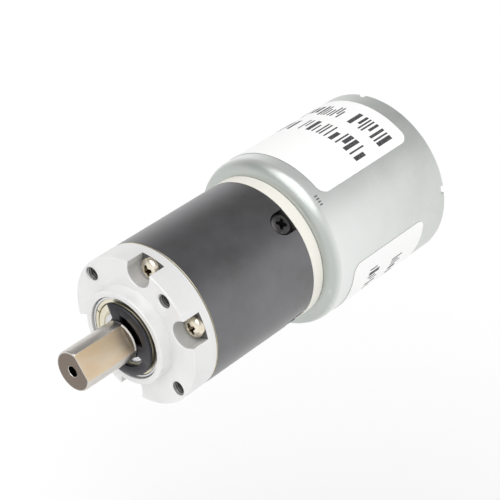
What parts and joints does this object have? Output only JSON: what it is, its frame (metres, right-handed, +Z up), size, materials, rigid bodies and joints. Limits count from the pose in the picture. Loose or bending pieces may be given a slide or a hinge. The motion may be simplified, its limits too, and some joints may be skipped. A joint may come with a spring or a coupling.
{
  "type": "geared dc motor",
  "caption": "Round planetary gearmotor: D-cut output shaft, tapped face flange, black gear tube and a wider steel motor can with two rear terminals.",
  "frame": {"origin": "centre of the gearbox flange's front mounting face, on the output shaft's axis", "axes": "+X out of the output shaft, +Z up, +Y to the left seen from behind the motor; the tapped holes lie at 45 degrees between Y and Z"},
  "size_m": [0.092, 0.0357, 0.0354],
  "materials": {
    "flange_aluminium": "satin machined aluminium, bright, fine turning marks",
    "tube_black": "charcoal black anodised, slight gloss",
    "can_zinc": "zinc-plated drawn steel, light grey-green, satin",
    "adapter_cream": "off-white moulded plastic, satin",
    "shaft_steel": "ground steel, warm grey, brushed lengthwise on the flat",
    "bearing_steel": "polished bearing steel",
    "bearing_shield": "pressed shield, pale straw colour",
    "clip_black": "black phosphated spring steel",
    "screw_nickel": "nickel-plated steel, warm bright",
    "screw_black": "black oxide steel, semi-gloss",
    "gear_steel": "sintered steel, oiled",
    "bronze": "sintered bronze, matt",
    "brass": "pressed brass",
    "copper": "enamelled copper",
    "carbon": "carbon-graphite, matt black",
    "ferrite": "sintered ferrite, matt dark grey",
    "lamination_steel": "stacked electrical steel laminations",
    "cap_nylon": "black moulded nylon, matt",
    "label_paper": "white matt label film"
  },
  "bodies": {
    "root": {"front_flange": "flange_aluminium", "flange_screw_1": "screw_nickel", "flange_screw_2": "screw_nickel", "flange_screw_3": "screw_nickel", "flange_screw_4": "screw_nickel", "adapter_screw_1": "screw_nickel", "adapter_screw_2": "screw_nickel", "front_bearing_outer_ring": "bearing_steel", "rear_bearing_outer_ring": "bearing_steel", "front_bearing_shield": "bearing_shield", "planet_thrust_washer": "bronze", "motor_front_bushing": "bronze", "motor_rear_bushing": "bronze", "ring_gear_housing": "tube_black", "adapter_plate": "adapter_cream", "housing_screw_1": "screw_black", "housing_screw_2": "screw_black", "housing_screw_3": "screw_black", "housing_screw_4": "screw_black", "motor_can": "can_zinc", "magnet_clip_1": "can_zinc", "magnet_clip_2": "can_zinc", "motor_magnet_1": "ferrite", "motor_magnet_2": "ferrite", "motor_end_cap": "cap_nylon", "motor_terminal_1": "brass", "motor_terminal_2": "brass", "brush_arm_1": "brass", "brush_arm_2": "brass", "carbon_brush_1": "carbon", "carbon_brush_2": "carbon", "rating_label": "label_paper", "side_label": "label_paper"},
    "output": {"output_shaft": "shaft_steel", "shaft_retaining_clip": "clip_black", "front_bearing_inner_ring": "bearing_steel", "rear_bearing_inner_ring": "bearing_steel", "output_carrier": "gear_steel", "second_stage_pin_1": "bearing_steel", "second_stage_pin_2": "bearing_steel", "second_stage_pin_3": "bearing_steel"},
    "first_carrier": {"first_stage_carrier": "gear_steel", "first_stage_pin_1": "bearing_steel", "first_stage_pin_2": "bearing_steel", "first_stage_pin_3": "bearing_steel"},
    "rotor": {"rotor_shaft": "shaft_steel", "armature_core": "lamination_steel", "armature_windings": "copper", "commutator": "copper", "sun_pinion": "gear_steel"},
    "first_stage_planet_1_body": {"first_stage_planet_1": "gear_steel"},
    "first_stage_planet_2_body": {"first_stage_planet_2": "gear_steel"},
    "first_stage_planet_3_body": {"first_stage_planet_3": "gear_steel"},
    "second_stage_planet_1_body": {"second_stage_planet_1": "gear_steel"},
    "second_stage_planet_2_body": {"second_stage_planet_2": "gear_steel"},
    "second_stage_planet_3_body": {"second_stage_planet_3": "gear_steel"},
    "front_cage": {"front_bearing_ball_cage": "brass"},
    "rear_cage": {"rear_bearing_ball_cage": "brass"}
  },
  "joints": [
    {"name": "rotor_spin", "type": "hinge", "parent": "root", "child": "rotor", "pos_m": [-0.045, 0, 0], "axis": [1, 0, 0], "continuous": true},
    {"name": "first_carrier_spin", "type": "hinge", "parent": "root", "child": "first_carrier", "pos_m": [-0.0192, 0, 0], "axis": [1, 0, 0], "continuous": true},
    {"name": "output_spin", "type": "hinge", "parent": "root", "child": "output", "pos_m": [0, 0, 0], "axis": [1, 0, 0], "continuous": true},
    {"name": "first_stage_planet_1_spin", "type": "hinge", "parent": "first_carrier", "child": "first_stage_planet_1_body", "pos_m": [-0.0231, 0, 0.00675], "axis": [1, 0, 0], "continuous": true},
    {"name": "first_stage_planet_2_spin", "type": "hinge", "parent": "first_carrier", "child": "first_stage_planet_2_body", "pos_m": [-0.0231, -0.00585, -0.00337], "axis": [1, 0, 0], "continuous": true},
    {"name": "first_stage_planet_3_spin", "type": "hinge", "parent": "first_carrier", "child": "first_stage_planet_3_body", "pos_m": [-0.0231, 0.00585, -0.00337], "axis": [1, 0, 0], "continuous": true},
    {"name": "second_stage_planet_1_spin", "type": "hinge", "parent": "output", "child": "second_stage_planet_1_body", "pos_m": [-0.0154, 0, 0.00675], "axis": [1, 0, 0], "continuous": true},
    {"name": "second_stage_planet_2_spin", "type": "hinge", "parent": "output", "child": "second_stage_planet_2_body", "pos_m": [-0.0154, -0.00585, -0.00337], "axis": [1, 0, 0], "continuous": true},
    {"name": "second_stage_planet_3_spin", "type": "hinge", "parent": "output", "child": "second_stage_planet_3_body", "pos_m": [-0.0154, 0.00585, -0.00337], "axis": [1, 0, 0], "continuous": true},
    {"name": "front_cage_spin", "type": "hinge", "parent": "root", "child": "front_cage", "pos_m": [-0.0001, 0, 0], "axis": [1, 0, 0], "continuous": true},
    {"name": "rear_cage_spin", "type": "hinge", "parent": "root", "child": "rear_cage", "pos_m": [-0.007, 0, 0], "axis": [1, 0, 0], "continuous": true}
  ],
  "couplings": [
    {"joint": "first_carrier_spin", "follows": "rotor_spin", "ratio": 0.22222},
    {"joint": "output_spin", "follows": "rotor_spin", "ratio": 0.049383},
    {"joint": "first_stage_planet_1_spin", "follows": "rotor_spin", "ratio": -0.62222},
    {"joint": "first_stage_planet_2_spin", "follows": "rotor_spin", "ratio": -0.62222},
    {"joint": "first_stage_planet_3_spin", "follows": "rotor_spin", "ratio": -0.62222},
    {"joint": "second_stage_planet_1_spin", "follows": "rotor_spin", "ratio": -0.13827},
    {"joint": "second_stage_planet_2_spin", "follows": "rotor_spin", "ratio": -0.13827},
    {"joint": "second_stage_planet_3_spin", "follows": "rotor_spin", "ratio": -0.13827},
    {"joint": "front_cage_spin", "follows": "rotor_spin", "ratio": 0.020782},
    {"joint": "rear_cage_spin", "follows": "rotor_spin", "ratio": 0.020782}
  ]
}
